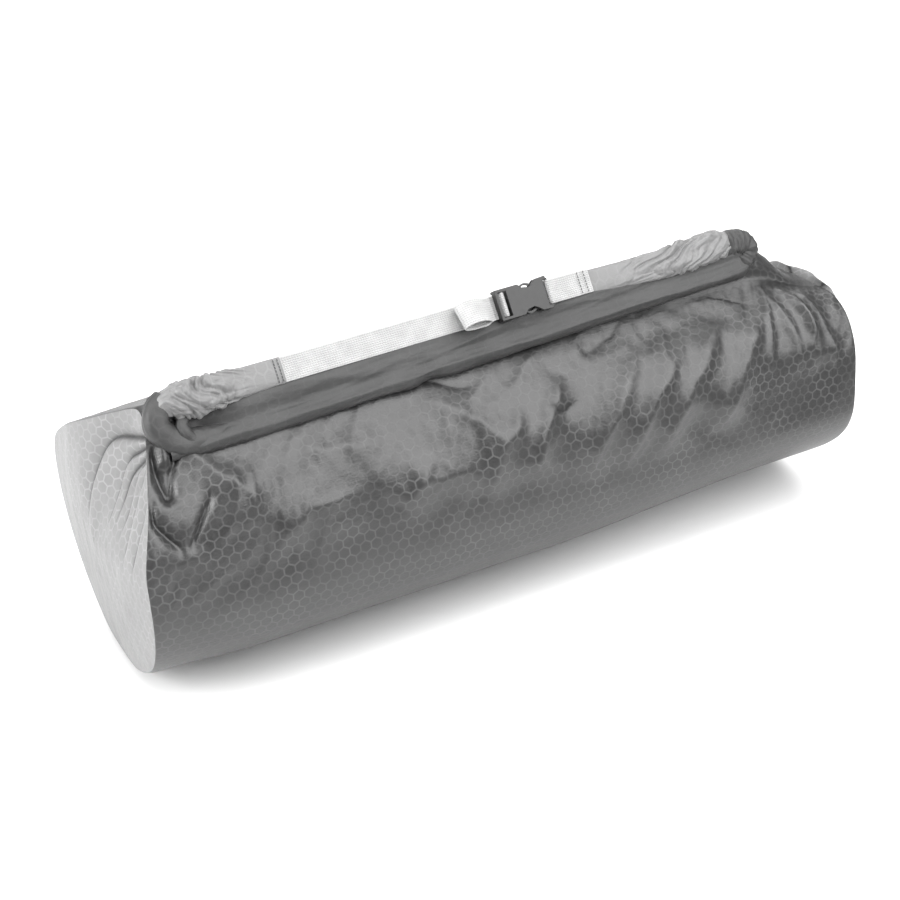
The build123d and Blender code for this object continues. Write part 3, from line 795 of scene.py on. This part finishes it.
def strap(name, profile, body_name, node, lift=0.0):
    """Webbing that follows a line of (along, out) places, with rounded edges. lift raises the lower edge
    of its slack part, beyond the buckle, by that many millimetres."""
    line = evenly(spline(profile, 400), 160)
    tangent = np.gradient(line, axis=0)
    tangent /= np.linalg.norm(tangent, axis=1, keepdims=True)
    normal = np.column_stack([-tangent[:, 1], tangent[:, 0]])
    half = STRAP_HALF_THICKNESS
    flat_half_width = STRAP_HALF_WIDTH - half
    flat = np.linspace(-flat_half_width, flat_half_width, 24)
    edge = np.linspace(-math.pi / 2, math.pi / 2, 7)
    rounded = np.column_stack([flat_half_width + half * np.cos(edge), half * np.sin(edge)])[1:-1]
    ring = np.vstack([
        np.column_stack([flat, np.full_like(flat, half)]),
        rounded[::-1],
        np.column_stack([flat[::-1], np.full_like(flat, -half)]),
        rounded * (-1, 1),
    ])
    points = np.empty((len(line), len(ring), 3))
    points[..., 0] = line[:, None, 0] + normal[:, None, 0] * ring[None, :, 1]
    points[..., 1] = ring[None, :, 0]
    points[..., 2] = line[:, None, 1] + normal[:, None, 1] * ring[None, :, 1]
    slack = smooth(-points[..., 0], 3, 18)
    raised = np.clip(points[..., 2] - 4, 0, None)
    points[..., 2] += lift * slack * (STRAP_HALF_WIDTH - points[..., 1]) / (2 * STRAP_HALF_WIDTH)
    points[..., 1] += slack * (0.06 * lift * raised - 0.35 * lift)
    uv = np.stack(np.broadcast_arrays(lengths_along(line)[:, None] * MM, ring[None, :, 0] * MM), -1)
    piece = grid_mesh(name, closure(points), uv, webbing, flip=True)
    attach(piece, body_name)
    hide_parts(node)


strap("long_strap", [(-204, 2.2), (-150, 2.2), (-60, 2.0), (7, 2.2)], "root", "strap_long")
# round the ladder bar, back to the left, round in a loop, and sewn to itself
strap(
    "strap_tail_loop",
    [
        (7.8, 3.4), (7.8, 7.0), (5.2, 9.6), (2.6, 7.0), (1.2, 4.6), (-2, 4.0), (-14, 4.0), (-28, 4.4),
        (-36.5, 6.2), (-37.5, 9.4), (-32, 12.2), (-23, 12.6), (-14, 9.4), (-8, 5.8), (-5.0, 5.4),
    ],
    "socket",
    "strap_tail",
    lift=9.0,
)
# doubled round the insert's bar
strap(
    "short_strap",
    [
        (92, 3.2), (76, 3.4), (62, 4.6), (52, 7.8), (49.3, 8.7), (47.4, 7.0), (49.3, 5.3), (56, 4.0),
        (76, 2.0), (90, 1.8),
    ],
    "root",
    "strap_short",
)

# ---------------------------------------------------------------- materials of the CAD nodes that stay

KEPT_NODES = {
    "buckle_socket": buckle_plastic,
    "buckle_insert": buckle_plastic,
    "prong_front": buckle_plastic,
    "prong_rear": buckle_plastic,
    "hem_stitches_left": dark_thread,
    "strap_stitches_right": dark_thread,
    "tail_stitches": pale_thread,
}
for name, material in KEPT_NODES.items():
    nodes[name].data.materials.clear()
    nodes[name].data.materials.append(material)

# ---------------------------------------------------------------- floor, light and camera

CAMERA_TURN = 28.79  # degrees, to the right of the row frame's +Y
CAMERA_TILT = 57  # degrees, up from straight down
FLOOR = 12.0
BELOW_OBJECT = 0.0005  # keeps the floor from flickering through the sack's flat underside

floor_mesh = bpy.data.meshes.new("floor")
floor_corners = [(-FLOOR, -FLOOR, 0), (FLOOR, -FLOOR, 0), (FLOOR, FLOOR, 0), (-FLOOR, FLOOR, 0)]
floor_mesh.from_pydata(floor_corners, [], [(0, 1, 2, 3)])
floor = bpy.data.objects.new("floor", floor_mesh)
floor.location.z = -BELOW_OBJECT
bpy.context.scene.collection.objects.link(floor)
floor_look = Nodes("floor")
# painted reflection: the floor is pale to the camera and to diffuse light, but to glossy rays it shows
# dark past a front and a right edge, so the sack's glossy cloth reflects dark there
floor_place = floor_look.add("ShaderNodeTexCoord").outputs["Object"]
front_edge_way = (math.sin(math.radians(CAMERA_TURN)), math.cos(math.radians(CAMERA_TURN)), 0)
right_edge_way = (-0.746, 0.665, 0)  # from the right edge in towards the sack
from_front_edge = floor_look.dot(floor_place, front_edge_way)
from_right_edge = floor_look.dot(floor_place, right_edge_way)
pale_in_reflections = (
    floor_look.ramp(from_front_edge, -0.6, -0.45),
    floor_look.ramp(from_right_edge, -0.6, -0.4),
)
paleness = floor_look.math("MULTIPLY", *pale_in_reflections)
reflected = floor_look.add("ShaderNodeLightPath").outputs["Is Glossy Ray"]
paleness = floor_look.math("MAXIMUM", paleness, floor_look.math("SUBTRACT", 1.0, reflected))
floor_colour = floor_look.mix_colour(paleness, grey(0.12), grey(0.88))
floor_look.set(floor_look.shader.inputs["Base Color"], floor_colour)
floor_look.shader.inputs["Roughness"].default_value = 0.9
floor_mesh.materials.append(floor_look.material)


def area_light(name, place, target, size, power):
    """A soft rectangular light that faces its target."""
    light = bpy.data.lights.new(name, "AREA")
    light.shape = "RECTANGLE"
    light.size, light.size_y = size
    light.energy = power
    lamp = bpy.data.objects.new(name, light)
    lamp.location = place
    lamp.rotation_euler = (Vector(target) - Vector(place)).to_track_quat("-Z", "Y").to_euler()
    bpy.context.scene.collection.objects.link(lamp)


area_light("softbox", (1.0, -1.4, 2.1), (0.1, -0.05, 0.1), (3.0, 3.4), 145)
area_light("overhead", (-0.9, 0.1, 2.5), (-0.1, 0, 0.1), (1.6, 1.6), 34)
area_light("background", (1.6, 3.2, 2.6), (1.2, 2.4, 0.0), (4.0, 3.0), 150)
area_light("left_fill", (-2.2, 0.1, 1.1), (-0.3, 0, 0.12), (1.4, 1.4), 68)

world = bpy.data.worlds.new("studio")
world.use_nodes = True
background = world.node_tree.nodes["Background"]
background.inputs["Color"].default_value = grey(1.0)
background.inputs["Strength"].default_value = 0.1
bpy.context.scene.world = world
bpy.context.scene.view_settings.view_transform = "Standard"

camera_data = bpy.data.cameras.new("camera")
camera_data.lens = 64.7
camera_data.sensor_width = 36
camera_data.clip_start = 0.05
camera = bpy.data.objects.new("camera", camera_data)
camera.location = (-0.5942, -1.0465, 0.8743)
camera.rotation_euler = (math.radians(CAMERA_TILT), 0, math.radians(-CAMERA_TURN))
bpy.context.scene.collection.objects.link(camera)
bpy.context.scene.camera = camera
